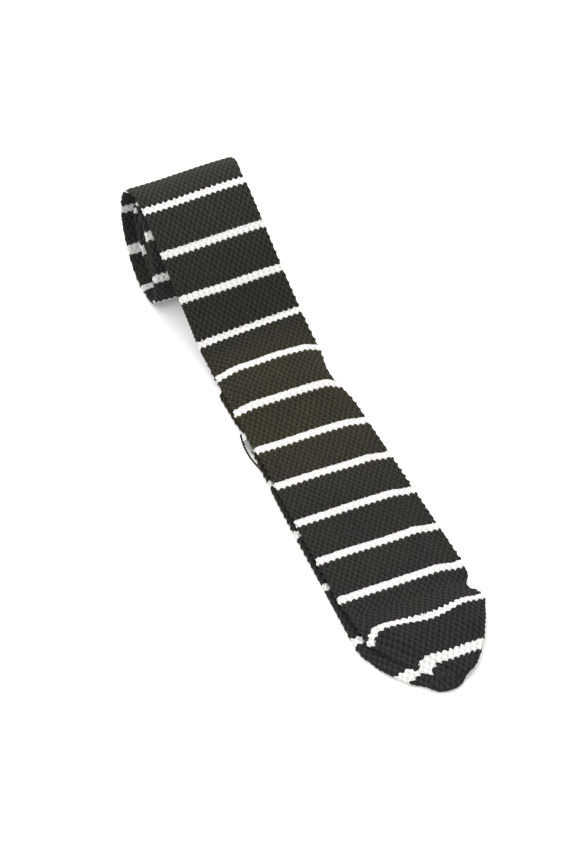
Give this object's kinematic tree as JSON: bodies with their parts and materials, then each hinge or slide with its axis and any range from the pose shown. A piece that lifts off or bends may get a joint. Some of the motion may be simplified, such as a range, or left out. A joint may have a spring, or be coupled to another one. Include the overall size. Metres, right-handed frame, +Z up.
{
  "type": "necktie",
  "caption": "Knitted necktie with narrow cross stripes and a rounded point, folded in half at the neck and rolled up, its wide blade lying flat over the narrow tail.",
  "frame": {"origin": "a point of the roll's settled flat underside, on the surface that it rests on, directly under the roll's axis and in line with the middle of the flat run", "axes": "+X across the tie to its right edge as seen from the point, +Y along the tie from the point towards the roll, +Z up"},
  "size_m": [0.0601, 0.3082, 0.0467],
  "materials": {
    "black_knit": "matt knitted yarn, seed stitch",
    "white_knit": "matt knitted yarn, seed stitch",
    "thread": "matt sewing thread",
    "label": "satin woven tape, plain"
  },
  "bodies": {
    "roll": {"roll_blade_outer_black": "black_knit", "roll_blade_outer_white": "white_knit", "roll_blade_inner_black": "black_knit", "roll_blade_inner_white": "white_knit", "roll_tail_outer_black": "black_knit", "roll_tail_outer_white": "white_knit", "roll_tail_inner_black": "black_knit", "roll_tail_inner_white": "white_knit", "neck_band": "black_knit", "neck_join_stitches": "thread"},
    "tail": {"blade_foot_black": "black_knit", "blade_foot_white": "white_knit", "tail_front_black": "black_knit", "tail_front_white": "white_knit", "tail_point_black": "black_knit", "tail_point_white": "white_knit", "tail_back_seam": "thread", "tail_point_tack": "thread"},
    "blade": {"blade_front_black": "black_knit", "blade_front_white": "white_knit", "blade_back_seam": "thread", "plain_label": "label", "label_stitches": "thread", "care_label": "label", "keeper_tacks": "thread"},
    "blade_point": {"blade_point_black": "black_knit", "blade_point_white": "white_knit", "blade_point_tack": "thread"},
    "keeper": {"keeper_loop": "thread"}
  },
  "joints": [
    {"name": "ramp_fold", "type": "hinge", "parent": "roll", "child": "tail", "pos_m": [0, -0.07449, 0.0052], "axis": [-1, 0, 0], "range_deg": [0, 60]},
    {"name": "blade_lift", "type": "hinge", "parent": "tail", "child": "blade", "pos_m": [0, -0.09719, 0.0052], "axis": [-1, 0, 0], "range_deg": [0, 75]},
    {"name": "point_lift", "type": "hinge", "parent": "blade", "child": "blade_point", "pos_m": [0, -0.23679, 0.0052], "axis": [-1, 0, 0], "range_deg": [0, 60]},
    {"name": "keeper_swing", "type": "hinge", "parent": "blade", "child": "keeper", "pos_m": [-0.02744, -0.13049, 0.00275], "axis": [0, 1, 0], "range_deg": [0, 90]}
  ]
}
